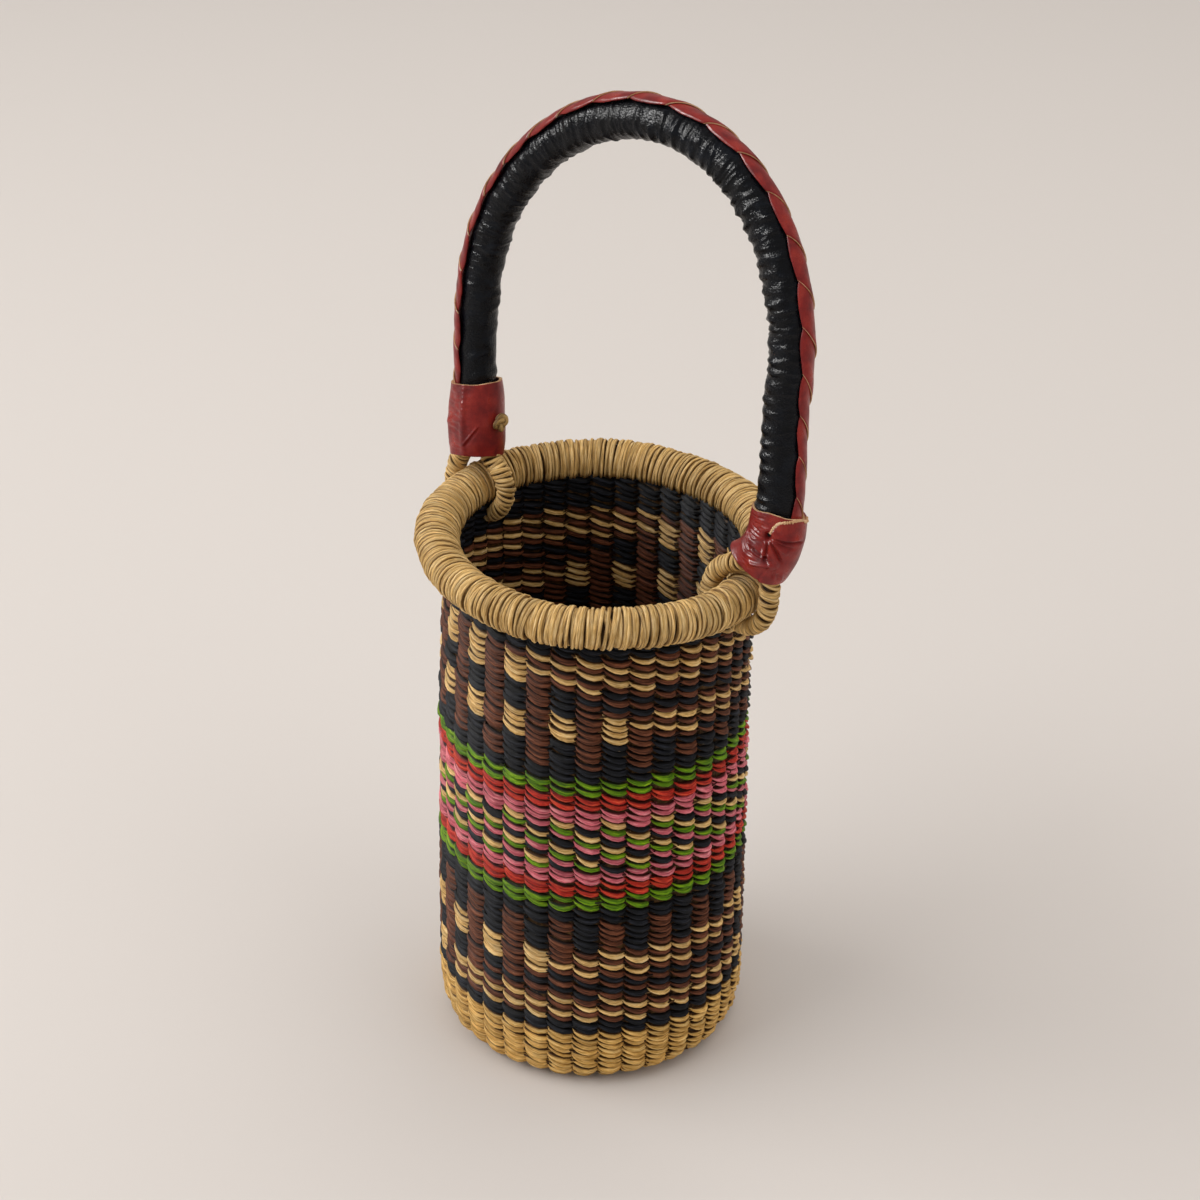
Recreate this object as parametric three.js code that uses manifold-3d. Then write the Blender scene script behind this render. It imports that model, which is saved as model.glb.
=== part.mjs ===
// Wine bottle basket: a tall basket of twined elephant grass with a bound rim and a leather-covered handle
// that swings on two straw-wrapped loops.
// Millimetres, +Z up. The origin is the middle of the base's underside, and the handle spans X.
import * as THREE from "three";
import Module from "manifold-3d";
import { mergeVertices } from "three/addons/utils/BufferGeometryUtils.js";

const wasm = await Module();
wasm.setup();

// Clearances
const seatGap = 0.3; // between pieces that touch on the real basket
const runningGap = 2.2; // between the loops and the rim that they swing round
const cutOverrun = 5; // how far a cutting solid runs past what it cuts

// Base
const baseThickness = 5;
const baseCornerRun = 11.8; // how far the rounded bottom corner reaches in from the edge
const baseEdgeHeight = 9; // top of the rounded bottom corner
const baseCornerSteps = 4;

// Stakes, the upright straws that the wall is twined on
const stakeCount = 38;
const stakeWidth = 2.4; // along the wall
const stakeDepth = 2.2; // through the wall

// Wall: bands of twined straw, from the foot up
const ridgeRadiusAtFoot = 61.5; // over the ridges, at the lower end of the wall
const ridgeRadiusAtTop = 58.8; // over the ridges, at the upper end of the wall
const wallThickness = 6;
const ridgeDepth = 1.4;
const footBandHeight = 17.4;
const lowerDarkHeight = 57.8;
const greenHeight = 5.9;
const redHeight = 5.9;
const checkHeight = 32.3;
const upperDarkHeight = 65.5;
const ridgeFlatShare = 1 / 3; // flat part of a ridge, of the distance between two stakes

// Rim: a grass bundle on the wall's upper edge, bound with straw
const rimOutset = 2; // from the ridges at the wall's upper end out to the middle of the bound roll
const rimRollRadius = 8.75;
const rimCover = 6; // how far the roll reaches down over the wall's upper edge
const bindingThickness = 1.25;
const rimSegments = 48;
const rimSectionStep = THREE.MathUtils.degToRad(36);

// Handle: a grass core in a leather sleeve, an arch whose legs draw in towards the rim
const archOutset = 11.2; // from the rim's middle out to the arch at its widest
const archRise = 81; // from the arch's springing to its top
const legHeight = 61; // from the cuffs' lower edges to the springing
const leftFootOutset = 2.7; // from the rim's middle out to the left leg, at its cuff's lower edge
const rightFootOutset = 11.7;
const cuffStandoff = 5.8; // upright gap between the rim's top and the cuffs
const handleLean = THREE.MathUtils.degToRad(10); // backwards from upright, as it is left standing
const coreRadius = 6.2;
const sleeveThickness = 1.3;
const sleeveSides = 10;
const archSteps = 36;

// Lacing strip along the outer side of the sleeve
const stripThickness = 0.9;
const stripHalfAngle = THREE.MathUtils.degToRad(46);
const stripSectionSteps = 4;

// Cuffs that bind the loops to the handle
const cuffHeight = 25;
const cuffThickness = 1.6;
const cuffSides = 14;
const cuffSteps = 5;
const loopShareInCuff = 0.5; // the lower part of a cuff holds the loop's two ends

// Loops: straw-wrapped cord, through the wall under the rim and up both sides of it
const loopRadius = 4.2;
const neckRadius = 2.3; // where the cord is squeezed between two stakes
const neckDrop = 14.7; // from the rim roll's middle down to the neck's middle
const loopSides = 8;
const neckSides = 12;
const loopArcSteps = 4;
const loopBendSteps = 3;
const loopBendAngle = THREE.MathUtils.degToRad(25); // of the arc round the rim, given up to the bend into an arm
const loopUnderAngle = THREE.MathUtils.degToRad(-60); // where the outer arm's arc starts, under the rim
const armGap = 0.8; // between a loop's two arms, in the cuff
const armStraightInCuff = 5; // from a cuff's lower edge up to where its arms are straight

// Straw knot on the left cuff
const knotRadius = 3;
const knotDepthShare = 0.75;
const knotHeightShare = 0.4; // of the cuff's height, from its lower edge
const knotSegments = 8;

// Places worked out from the sizes
const stakePitch = 2 * Math.PI / stakeCount;
const bandHeights = {
  foot_band: footBandHeight,
  lower_dark_band: lowerDarkHeight,
  lower_green_band: greenHeight,
  lower_red_band: redHeight,
  check_band: checkHeight,
  upper_red_band: redHeight,
  upper_green_band: greenHeight,
  upper_dark_band: upperDarkHeight,
};
const bandNames = Object.keys(bandHeights);
const wallFootZ = baseEdgeHeight + seatGap;
const wallTopZ = bandNames.reduce((z, name) => z + bandHeights[name] + seatGap, wallFootZ) - seatGap;
const rimRadius = ridgeRadiusAtTop + rimOutset;
const rimZ = wallTopZ - rimCover + rimRollRadius;
const rimTopZ = rimZ + rimRollRadius;
const hingeZ = rimZ - neckDrop;
const cuffBottom = rimTopZ + cuffStandoff - hingeZ; // heights on the handle are taken from the hinge
const springing = cuffBottom + legHeight;
const archHalfWidth = rimRadius + archOutset;
const leftFootReach = rimRadius + leftFootOutset;
const rightFootReach = rimRadius + rightFootOutset;
const sleeveBottom = cuffBottom + loopShareInCuff * cuffHeight + seatGap;
const sleeveRadius = coreRadius + seatGap + sleeveThickness;
const stripInnerRadius = sleeveRadius + seatGap;
const armSpacing = 2 * loopRadius + armGap; // between the middles of a loop's two arms
const cuffInnerRadius = Math.max(stripInnerRadius + stripThickness, armSpacing / 2 + loopRadius) + seatGap;
const cuffRadius = cuffInnerRadius + cuffThickness;

// Colours
const colours = {
  straw: { color: 0xc6a269, roughness: 0.75 },
  darkStraw: { color: 0x2e2a33, roughness: 0.7 },
  greenStraw: { color: 0x4f7d22, roughness: 0.7 },
  redStraw: { color: 0xb3302c, roughness: 0.7 },
  pinkStraw: { color: 0xb8646f, roughness: 0.7 },
  blackLeather: { color: 0x17181c, roughness: 0.4 },
  redLeather: { color: 0x7a2428, roughness: 0.5 },
};
const bandColours = {
  foot_band: "straw",
  lower_dark_band: "darkStraw",
  lower_green_band: "greenStraw",
  lower_red_band: "redStraw",
  check_band: "pinkStraw",
  upper_red_band: "redStraw",
  upper_green_band: "greenStraw",
  upper_dark_band: "darkStraw",
};

function namedMesh(name, geometry, colour) {
  const material = new THREE.MeshStandardMaterial({ ...colours[colour], metalness: 0 });
  const mesh = new THREE.Mesh(geometry, material);
  mesh.name = name;
  return mesh;
}

function polar(radius, angle) {
  return new THREE.Vector2(radius * Math.cos(angle), radius * Math.sin(angle));
}

// A closed geometry from rows of points and the triangles between them
function closedGeometry(points, triangles) {
  const geometry = new THREE.BufferGeometry();
  const positions = points.flatMap((point) => [point.x, point.y, point.z]);
  geometry.setAttribute("position", new THREE.Float32BufferAttribute(positions, 3));
  geometry.setIndex(triangles.flat());
  return geometry;
}

function toSolid(geometry) {
  const bare = geometry.clone();
  bare.deleteAttribute("normal");
  bare.deleteAttribute("uv");
  const merged = mergeVertices(bare);
  return new wasm.Manifold(new wasm.Mesh({
    numProp: 3,
    vertProperties: new Float32Array(merged.getAttribute("position").array),
    triVerts: new Uint32Array(merged.index.array),
  }));
}

function toGeometry(solid) {
  const mesh = solid.getMesh();
  const geometry = new THREE.BufferGeometry();
  geometry.setAttribute("position", new THREE.BufferAttribute(mesh.vertProperties, 3));
  geometry.setIndex(new THREE.BufferAttribute(mesh.triVerts, 1));
  return geometry;
}

// Outer radius of the wall, over its ridges, at a height
function ridgeRadius(z) {
  const share = (z - wallFootZ) / (wallTopZ - wallFootZ);
  return THREE.MathUtils.lerp(ridgeRadiusAtFoot, ridgeRadiusAtTop, share);
}

// The stakes stand in the middle of the wall, half a pitch off the handle's plane
function stakeRadius(z) {
  return ridgeRadius(z) - (ridgeDepth + wallThickness) / 2;
}

function stakeAngle(index) {
  return (index + 0.5) * stakePitch;
}

// The four corners of a stake, or of its hole with a gap round it, going round anticlockwise
function stakeSection(index, z, gap) {
  const angle = stakeAngle(index);
  const middle = polar(stakeRadius(z), angle);
  const out = polar(stakeDepth / 2 + gap, angle);
  const along = polar(stakeWidth / 2 + gap, angle + Math.PI / 2);
  return [
    middle.clone().add(out).sub(along),
    middle.clone().add(out).add(along),
    middle.clone().sub(out).add(along),
    middle.clone().sub(out).sub(along),
  ];
}

// A solid between two levels, each given as an outline and its holes with matching points
function loftBetween(zLow, zHigh, outlineAt, holesAt) {
  const rings = [zLow, zHigh].map((z) => [outlineAt(z), ...holesAt(z)]);
  const points = [];
  const starts = [];
  for (const [level, loops] of rings.entries()) {
    starts.push(loops.map((loop) => {
      const start = points.length;
      loop.forEach((point) => points.push(new THREE.Vector3(point.x, point.y, level ? zHigh : zLow)));
      return start;
    }));
  }
  const triangles = [];
  rings[0].forEach((loop, index) => {
    const [low, high] = [starts[0][index], starts[1][index]];
    for (let i = 0; i < loop.length; i += 1) {
      const next = (i + 1) % loop.length;
      const quad = [[low + i, low + next, high + next], [low + i, high + next, high + i]];
      triangles.push(...(index === 0 ? quad : quad.map(([a, b, c]) => [a, c, b])));
    }
  });
  const upper = starts[1][0];
  for (const [a, b, c] of THREE.ShapeUtils.triangulateShape(rings[1][0], rings[1].slice(1))) {
    triangles.push([upper + a, upper + b, upper + c], [a, c, b]);
  }
  return closedGeometry(points, triangles);
}

// Outer outline of the wall: a flat ridge over each stake and a valley between two stakes
function ridgedOutline(z) {
  const outline = [];
  for (let i = 0; i < stakeCount; i += 1) {
    const middle = stakeAngle(i);
    outline.push(polar(ridgeRadius(z) - ridgeDepth, middle - stakePitch / 2));
    outline.push(polar(ridgeRadius(z), middle - stakePitch * ridgeFlatShare / 2));
    outline.push(polar(ridgeRadius(z), middle + stakePitch * ridgeFlatShare / 2));
  }
  return outline;
}

function wallHoles(z) {
  const inner = [];
  const stakes = [];
  for (let i = 0; i < stakeCount; i += 1) {
    inner.push(polar(ridgeRadius(z) - wallThickness, i * stakePitch));
    stakes.push(stakeSection(i, z, seatGap));
  }
  return [inner, ...stakes];
}

// The loops' necks pass through the wall in a round hole on each side, under the rim
function neckHole() {
  const length = 2 * (ridgeRadiusAtFoot + cutOverrun);
  const geometry = new THREE.CylinderGeometry(neckRadius + seatGap, neckRadius + seatGap, length, neckSides);
  return geometry.rotateZ(Math.PI / 2).translate(0, 0, hingeZ);
}

function wallBands() {
  const bands = [];
  let z = wallFootZ;
  for (const name of bandNames) {
    const top = z + bandHeights[name];
    let geometry = loftBetween(z, top, ridgedOutline, wallHoles);
    if (z < hingeZ && hingeZ < top) {
      geometry = toGeometry(toSolid(geometry).subtract(toSolid(neckHole())));
    }
    bands.push(namedMesh(name, geometry, bandColours[name]));
    z = top + seatGap;
  }
  return bands;
}

// The stakes stand on the base's edge and end inside the bound rim
function stakes() {
  const meshes = [];
  for (let i = 0; i < stakeCount; i += 1) {
    const geometry = loftBetween(wallFootZ, wallTopZ, (z) => stakeSection(i, z, 0), () => []);
    meshes.push(namedMesh(`stake_${String(i + 1).padStart(2, "0")}`, geometry, "straw"));
  }
  return meshes;
}

// A dished floor with a rounded outer corner, turned about Z
function base() {
  const edgeRadius = ridgeRadiusAtFoot - ridgeDepth / 2;
  const innerRadius = ridgeRadiusAtFoot - wallThickness;
  const flatRadius = edgeRadius - baseCornerRun;
  const profile = [new THREE.Vector2(0, 0), new THREE.Vector2(flatRadius, 0)];
  for (let i = 1; i <= baseCornerSteps; i += 1) {
    const angle = Math.PI / 2 * i / baseCornerSteps;
    const out = baseCornerRun * Math.sin(angle);
    const up = baseEdgeHeight * (1 - Math.cos(angle));
    profile.push(new THREE.Vector2(flatRadius + out, up));
  }
  profile.push(new THREE.Vector2(innerRadius, baseEdgeHeight));
  profile.push(new THREE.Vector2(innerRadius, baseThickness));
  profile.push(new THREE.Vector2(0, baseThickness));
  return namedMesh("base", turned(profile, stakeCount), "straw");
}

// A lathe turns about Y, so it is stood up onto Z
function turned(profile, segments) {
  const geometry = new THREE.LatheGeometry(profile, segments);
  return geometry.rotateX(Math.PI / 2);
}

// Points on the rim roll's section from one angle to another, anticlockwise, 0 pointing outwards
function rollArc(radius, from, to) {
  const steps = Math.ceil((to - from) / rimSectionStep);
  const points = [];
  for (let i = 0; i <= steps; i += 1) {
    const angle = from + (to - from) * i / steps;
    points.push(new THREE.Vector2(rimRadius, rimZ).add(polar(radius, angle)));
  }
  return points;
}

// Angles where the wall's outer face and its top edge, with their gaps, meet a circle of the roll's section
function wallAngles(radius) {
  const side = ridgeRadiusAtTop + seatGap - rimRadius;
  const up = wallTopZ + seatGap - rimZ;
  return [-Math.acos(side / radius), Math.PI - Math.asin(up / radius)];
}

// The grass bundle fills the roll and sits on the wall's upper edge
function rimCore() {
  const radius = rimRollRadius - bindingThickness - seatGap;
  const [from, to] = wallAngles(radius);
  const profile = rollArc(radius, from, to);
  profile.push(new THREE.Vector2(ridgeRadiusAtTop + seatGap, wallTopZ + seatGap));
  profile.push(profile[0].clone());
  return namedMesh("rim_core", turned(profile, rimSegments), "straw");
}

// The straw binding goes round the bundle from the wall's outer face over to its inner edge
function rimBinding() {
  const innerRadius = rimRollRadius - bindingThickness;
  const outer = rollArc(rimRollRadius, ...wallAngles(rimRollRadius));
  const inner = rollArc(innerRadius, ...wallAngles(innerRadius)).reverse();
  const profile = [...outer, ...inner, outer[0].clone()];
  return namedMesh("rim_binding", turned(profile, rimSegments), "straw");
}

// Distance from the middle to a leg's centreline at a height above the hinge
function legReach(footReach, height) {
  const share = (springing - height) / legHeight;
  return archHalfWidth - (archHalfWidth - footReach) * share * share;
}

// The handle's centreline, from the left leg over the arch to the right leg
class HandleCurve extends THREE.Curve {
  constructor(lowEnd) {
    super();
    this.lowEnd = lowEnd;
  }

  getPoint(t, target = new THREE.Vector3()) {
    const leg = springing - this.lowEnd;
    const arch = Math.PI * (archHalfWidth + archRise) / 2;
    const run = t * (2 * leg + arch);
    if (run < leg) {
      const height = this.lowEnd + run;
      return target.set(-legReach(leftFootReach, height), 0, height);
    }
    if (run > leg + arch) {
      const height = springing - (run - leg - arch);
      return target.set(legReach(rightFootReach, height), 0, height);
    }
    const angle = Math.PI * (1 - (run - leg) / arch);
    return target.set(archHalfWidth * Math.cos(angle), 0, springing + archRise * Math.sin(angle));
  }
}

// A leg's centreline between two heights above the hinge
class LegCurve extends THREE.Curve {
  constructor(side, footReach, low, high) {
    super();
    Object.assign(this, { side, footReach, low, high });
  }

  getPoint(t, target = new THREE.Vector3()) {
    const height = THREE.MathUtils.lerp(this.low, this.high, t);
    return target.set(this.side * legReach(this.footReach, height), 0, height);
  }
}

function roundShape(radius, sides, holeRadius = 0) {
  const ring = (r) => Array.from({ length: sides }, (_, i) => polar(r, 2 * Math.PI * (i + 0.5) / sides));
  const shape = new THREE.Shape(ring(radius));
  if (holeRadius > 0) {
    shape.holes.push(new THREE.Path(ring(holeRadius).reverse()));
  }
  return shape;
}

function swept(shape, path, steps) {
  return new THREE.ExtrudeGeometry(shape, { extrudePath: path, steps, bevelEnabled: false });
}

// A thin arc that lies over the sleeve's outer side, which is -Y of a section swept along the handle
function stripShape() {
  const arc = (radius) => Array.from({ length: stripSectionSteps + 1 }, (_, i) => {
    const share = 2 * i / stripSectionSteps - 1;
    return polar(radius, -Math.PI / 2 + share * stripHalfAngle);
  });
  return new THREE.Shape([...arc(stripInnerRadius + stripThickness), ...arc(stripInnerRadius).reverse()]);
}

// A round tube of changing radius along a path that lies in XZ
function taperedTube(centres, radii, sides) {
  const points = [];
  const triangles = [];
  centres.forEach((centre, i) => {
    const before = centres[Math.max(i - 1, 0)];
    const after = centres[Math.min(i + 1, centres.length - 1)];
    const along = after.clone().sub(before).normalize();
    const across = new THREE.Vector3(along.y, 0, -along.x);
    for (let k = 0; k < sides; k += 1) {
      const offset = polar(radii[i], 2 * Math.PI * (k + 0.5) / sides);
      const point = new THREE.Vector3(centre.x, offset.y, centre.y).addScaledVector(across, offset.x);
      points.push(point);
      const next = (k + 1) % sides;
      if (i > 0) {
        const [low, high] = [(i - 1) * sides, i * sides];
        triangles.push([low + k, low + next, high + next], [low + k, high + next, high + k]);
      }
    }
  });
  const last = (centres.length - 1) * sides;
  for (let k = 1; k < sides - 1; k += 1) {
    triangles.push([0, k + 1, k], [last, last + k, last + k + 1]);
  }
  return closedGeometry(points, triangles);
}

// A point at a distance out from a leg's centreline, square to it at a height above the hinge, and the way up there
function besideLeg(footReach, height, distance) {
  const slope = 2 * (archHalfWidth - footReach) * (springing - height) / (legHeight * legHeight);
  const along = new THREE.Vector2(slope, 1).normalize();
  const across = new THREE.Vector2(along.y, -along.x);
  const point = new THREE.Vector2(legReach(footReach, height), height);
  return { point: point.addScaledVector(across, distance), along };
}

// Where two straight lines in a plane meet
function meeting(first, second) {
  const apart = second.point.clone().sub(first.point);
  const run = apart.cross(second.along) / first.along.cross(second.along);
  return first.point.clone().addScaledVector(first.along, run);
}

// A loop in XZ, heights from the hinge, for the +X side: inner arm down, neck outwards, outer arm up
function loopGeometry(footReach, clearance) {
  const reach = rimRollRadius + runningGap + loopRadius;
  const rimMiddle = new THREE.Vector2(rimRadius, neckDrop);
  const wallOut = ridgeRadiusAtTop;
  const wallIn = wallOut - wallThickness;
  const bendRadius = (loopRadius + neckRadius) / 2;
  const onArc = (angle) => ({
    point: rimMiddle.clone().add(polar(reach, angle)),
    along: new THREE.Vector2(-Math.sin(angle), Math.cos(angle)),
  });
  const armTop = cuffBottom + loopShareInCuff * cuffHeight;
  const armEnd = (side) => besideLeg(footReach, armTop, side * armSpacing / 2).point;
  const armBend = (side) => besideLeg(footReach, cuffBottom + armStraightInCuff, side * armSpacing / 2);
  const arcEnd = (side) => {
    const share = THREE.MathUtils.clamp((armBend(side).point.x - rimRadius) / reach, -1, 1);
    return Math.acos(share) - side * loopBendAngle;
  };
  const bend = (side) => {
    const [arm, arc] = [armBend(side), onArc(arcEnd(side))];
    return new THREE.QuadraticBezierCurve(arm.point, meeting(arm, arc), arc.point).getPoints(loopBendSteps);
  };
  const arcPoints = (from, to) => Array.from({ length: loopArcSteps }, (_, i) => (
    onArc(THREE.MathUtils.lerp(from, to, (i + 1) / (loopArcSteps + 1))).point
  ));
  const inner = [armEnd(-1), ...bend(-1), ...arcPoints(arcEnd(-1), Math.PI), onArc(Math.PI).point];
  inner.push(new THREE.Vector2(rimRadius - reach, loopRadius + neckRadius));
  const neck = [
    [wallIn - seatGap - bendRadius, neckRadius / 2, bendRadius],
    [wallIn - seatGap, 0, neckRadius],
    [wallOut + seatGap, 0, neckRadius],
    [wallOut + seatGap + bendRadius, neckRadius / 2, bendRadius],
  ];
  const outer = [onArc(loopUnderAngle).point, ...arcPoints(loopUnderAngle, arcEnd(1)), ...bend(1).reverse(), armEnd(1)];
  const centres = [...inner, ...neck.map(([x, y]) => new THREE.Vector2(x, y)), ...outer];
  const radii = [
    ...inner.map(() => loopRadius),
    ...neck.map(([, , radius]) => radius),
    ...outer.map(() => loopRadius),
  ];
  return taperedTube(centres, radii.map((radius) => radius + clearance), loopSides);
}

function handle() {
  const group = new THREE.Group();
  group.position.z = hingeZ;
  group.rotation.x = -handleLean;
  const full = new HandleCurve(sleeveBottom);
  group.add(namedMesh("handle_core", swept(roundShape(coreRadius, loopSides), full, archSteps), "straw"));
  const tube = roundShape(sleeveRadius, sleeveSides, sleeveRadius - sleeveThickness);
  group.add(namedMesh("handle_sleeve", swept(tube, full, archSteps), "blackLeather"));
  group.add(namedMesh("lacing_strip", swept(stripShape(), full, archSteps), "redLeather"));
  for (const [name, side, footReach] of [["left", -1, leftFootReach], ["right", 1, rightFootReach]]) {
    const leg = new LegCurve(side, footReach, cuffBottom, cuffBottom + cuffHeight);
    const turn = side < 0 ? Math.PI : 0;
    const loop = loopGeometry(footReach, 0).rotateZ(turn);
    const cuff = toSolid(swept(roundShape(cuffRadius, cuffSides, cuffInnerRadius), leg, cuffSteps));
    const openedCuff = cuff.subtract(toSolid(loopGeometry(footReach, seatGap).rotateZ(turn)));
    group.add(namedMesh(`cuff_${name}`, toGeometry(openedCuff), "redLeather"));
    group.add(namedMesh(`loop_${name}`, loop, "straw"));
  }
  group.add(cuffKnot());
  return group;
}

// The knot sits on the middle of the left cuff's inner side
function cuffKnot() {
  const height = cuffBottom + knotHeightShare * cuffHeight;
  const geometry = new THREE.SphereGeometry(knotRadius, knotSegments, knotSegments);
  const knot = namedMesh("cuff_knot", geometry, "straw");
  const distance = cuffRadius + seatGap + knotRadius * knotDepthShare;
  const { point } = besideLeg(leftFootReach, height, -distance);
  knot.scale.x = knotDepthShare;
  knot.position.set(-point.x, 0, point.y);
  return knot;
}

const basket = new THREE.Group();
basket.add(base(), ...stakes(), ...wallBands(), rimCore(), rimBinding(), handle());

export default basket;
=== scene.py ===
import math
import bpy
import numpy as np
from mathutils import Matrix, Vector, noise


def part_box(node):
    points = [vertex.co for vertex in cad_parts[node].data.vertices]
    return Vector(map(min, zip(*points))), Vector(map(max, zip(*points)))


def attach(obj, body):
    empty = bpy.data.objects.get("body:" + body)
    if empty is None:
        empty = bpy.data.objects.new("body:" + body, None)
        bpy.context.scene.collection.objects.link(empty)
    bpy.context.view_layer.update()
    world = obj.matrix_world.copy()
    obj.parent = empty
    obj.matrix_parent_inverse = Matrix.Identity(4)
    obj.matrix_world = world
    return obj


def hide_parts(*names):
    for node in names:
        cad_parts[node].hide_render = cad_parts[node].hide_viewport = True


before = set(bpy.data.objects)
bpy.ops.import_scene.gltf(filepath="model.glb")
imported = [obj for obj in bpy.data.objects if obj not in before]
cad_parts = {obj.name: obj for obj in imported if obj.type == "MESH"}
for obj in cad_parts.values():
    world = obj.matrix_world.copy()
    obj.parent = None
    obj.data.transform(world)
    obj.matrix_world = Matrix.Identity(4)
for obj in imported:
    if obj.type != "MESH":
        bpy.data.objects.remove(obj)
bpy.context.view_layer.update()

# Lengths are in metres, save where a comment says millimetres
MM = 0.001

# Camera, fitted to the outlines in the photograph of 1200 x 1200 pixels
CAMERA_AZIMUTH = 0.687
CAMERA_ELEVATION = 0.5353
CAMERA_DISTANCE = 0.99103
CAMERA_ROLL = 0.0143
CAMERA_LENS_MM = 79.92
CAMERA_SENSOR_MM = 36
CAMERA_TARGET_HEIGHT = 0.18411
CAMERA_TARGET_SIDE = 1.47 * MM

# Wall and base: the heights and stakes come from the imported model, the radii from the photograph
STAKES = sorted(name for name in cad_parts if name.startswith("stake_"))
STAKE_COUNT = len(STAKES)
FOOT_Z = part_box("foot_band")[0].z
WALL_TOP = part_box("upper_dark_band")[1].z
BASE_EDGE_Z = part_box("base")[1].z
WALL_THICKNESS = 6 * MM
RIDGE_AT_FOOT = 61.5 * MM
RIDGE_AT_TOP = 58.8 * MM
ROUND_BELOW = 140 * MM
FOOT_DRAWN_IN = 1.3 * MM
FOOT_DRAWN_HEIGHT = 18 * MM
BASE_FLAT_RADIUS = 49 * MM
BASE_CORNER = RIDGE_AT_FOOT - FOOT_DRAWN_IN - BASE_FLAT_RADIUS
BASE_CORNER_RUN = math.pi / 2 * math.hypot(BASE_CORNER, BASE_EDGE_Z) / math.sqrt(2)
BASE_ROW_PITCH = 2.75 * MM
# Stitches in a row of the base, by the distance from its middle beyond which it has them
BASE_COUNTS = ((32 * MM, STAKE_COUNT), (15 * MM, STAKE_COUNT // 2), (2 * MM, 8))
STAKE_HALF_WIDTH = 5.25 * MM
STAKE_HALF_DEPTH = 0.4 * MM

# Rim roll: an oval section whose longer axis points outwards and up
RIM_RADIUS = 61.5 * MM
RIM_Z = 209.7 * MM
RIM_LONG = 8.45 * MM
RIM_SHORT = 7.55 * MM
RIM_SECTION_LEAN = 0.535
RIM_TURNS = 222
RIM_STRAW_FROM = math.radians(-106)
RIM_STRAW_SWEEP = math.radians(312)

RNG = np.random.default_rng(7)


def varied(count, spread):
    """A column of random values about zero, one for each strand."""
    return RNG.normal(0, spread, (count, 1))


def srgb(code):
    """A hex colour as Blender's linear colour."""
    channels = [int(code[i:i + 2], 16) / 255 for i in (0, 2, 4)]
    linear = [c / 12.92 if c <= 0.04045 else ((c + 0.055) / 1.055) ** 2.4 for c in channels]
    return (*linear, 1.0)


def node(tree, kind, inputs=(), **settings):
    """A new node with its settings and input values or links."""
    made = tree.nodes.new(kind)
    for key, value in settings.items():
        setattr(made, key, value)
    for key, value in dict(inputs).items():
        if isinstance(value, bpy.types.NodeSocket):
            tree.links.new(value, made.inputs[key])
        else:
            made.inputs[key].default_value = value
    return made


def ramp(tree, factor, stops):
    """A colour ramp of (position, colour) stops."""
    made = node(tree, "ShaderNodeValToRGB", {"Fac": factor})
    elements = made.color_ramp.elements
    while len(elements) < len(stops):
        elements.new(0.5)
    for element, (position, colour) in zip(elements, stops):
        element.position, element.color = position, colour
    return made.outputs["Color"]


def mix(tree, factor, first, second, blend="MIX"):
    inputs = {0: factor, 6: first, 7: second}
    return node(tree, "ShaderNodeMix", inputs, data_type="RGBA", blend_type=blend).outputs[2]


def maths(tree, operation, *values):
    return node(tree, "ShaderNodeMath", dict(enumerate(values)), operation=operation).outputs[0]


def texture_noise(tree, vector, scale, detail, seed=None, roughness=0.5):
    """Noise from 0 to 1, of a seed's own where one is given."""
    values = {"Vector": vector, "Scale": scale, "Detail": detail, "Roughness": roughness}
    if seed is None:
        return node(tree, "ShaderNodeTexNoise", values).outputs["Fac"]
    return node(tree, "ShaderNodeTexNoise", {**values, "W": seed}, noise_dimensions="4D").outputs["Fac"]


def stretched(tree, vector, factors):
    return node(tree, "ShaderNodeVectorMath", {0: vector, 1: factors}, operation="MULTIPLY").outputs[0]


def map_range(tree, value, **limits):
    limits = {key.replace("_", " ").title(): limit for key, limit in limits.items()}
    return node(tree, "ShaderNodeMapRange", {"Value": value, **limits}).outputs[0]


def new_material(name):
    material = bpy.data.materials.new(name)
    material.use_nodes = True
    tree = material.node_tree
    return material, tree, tree.nodes["Principled BSDF"]


def dress(tree, shader, colour, rough, relief, strength, depth, shine):
    """Joins a material's colour, roughness and fine relief to its shader."""
    bump = node(tree, "ShaderNodeBump", {"Strength": strength, "Distance": depth, "Height": relief})
    tree.links.new(colour, shader.inputs["Base Color"])
    tree.links.new(rough, shader.inputs["Roughness"])
    tree.links.new(bump.outputs[0], shader.inputs["Normal"])
    shader.inputs["Specular IOR Level"].default_value = shine


# Painted shade across a straw from its lower to its upper edge, which lies tucked under the row above; a
# slight painted highlight near the lower edge
WOVEN_PAINTED_SHADE = [(0.02, 0.8), (0.12, 1.06), (0.42, 1.0), (0.55, 0.78), (0.66, 0.1)]
# Painted shade at both edges of a wound straw, where it meets the next turn
WOUND_PAINTED_SHADE = [(0.03, 0.36), (0.22, 1.0), (0.78, 1.0), (0.97, 0.36)]
# A stitch's first tip lies free, without that painted shade, by the share of its length
STITCH_LENGTH_MM = 13.0
FREE_TIP = [(0.04, (1, 1, 1, 1)), (0.16, (0, 0, 0, 1))]


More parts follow.
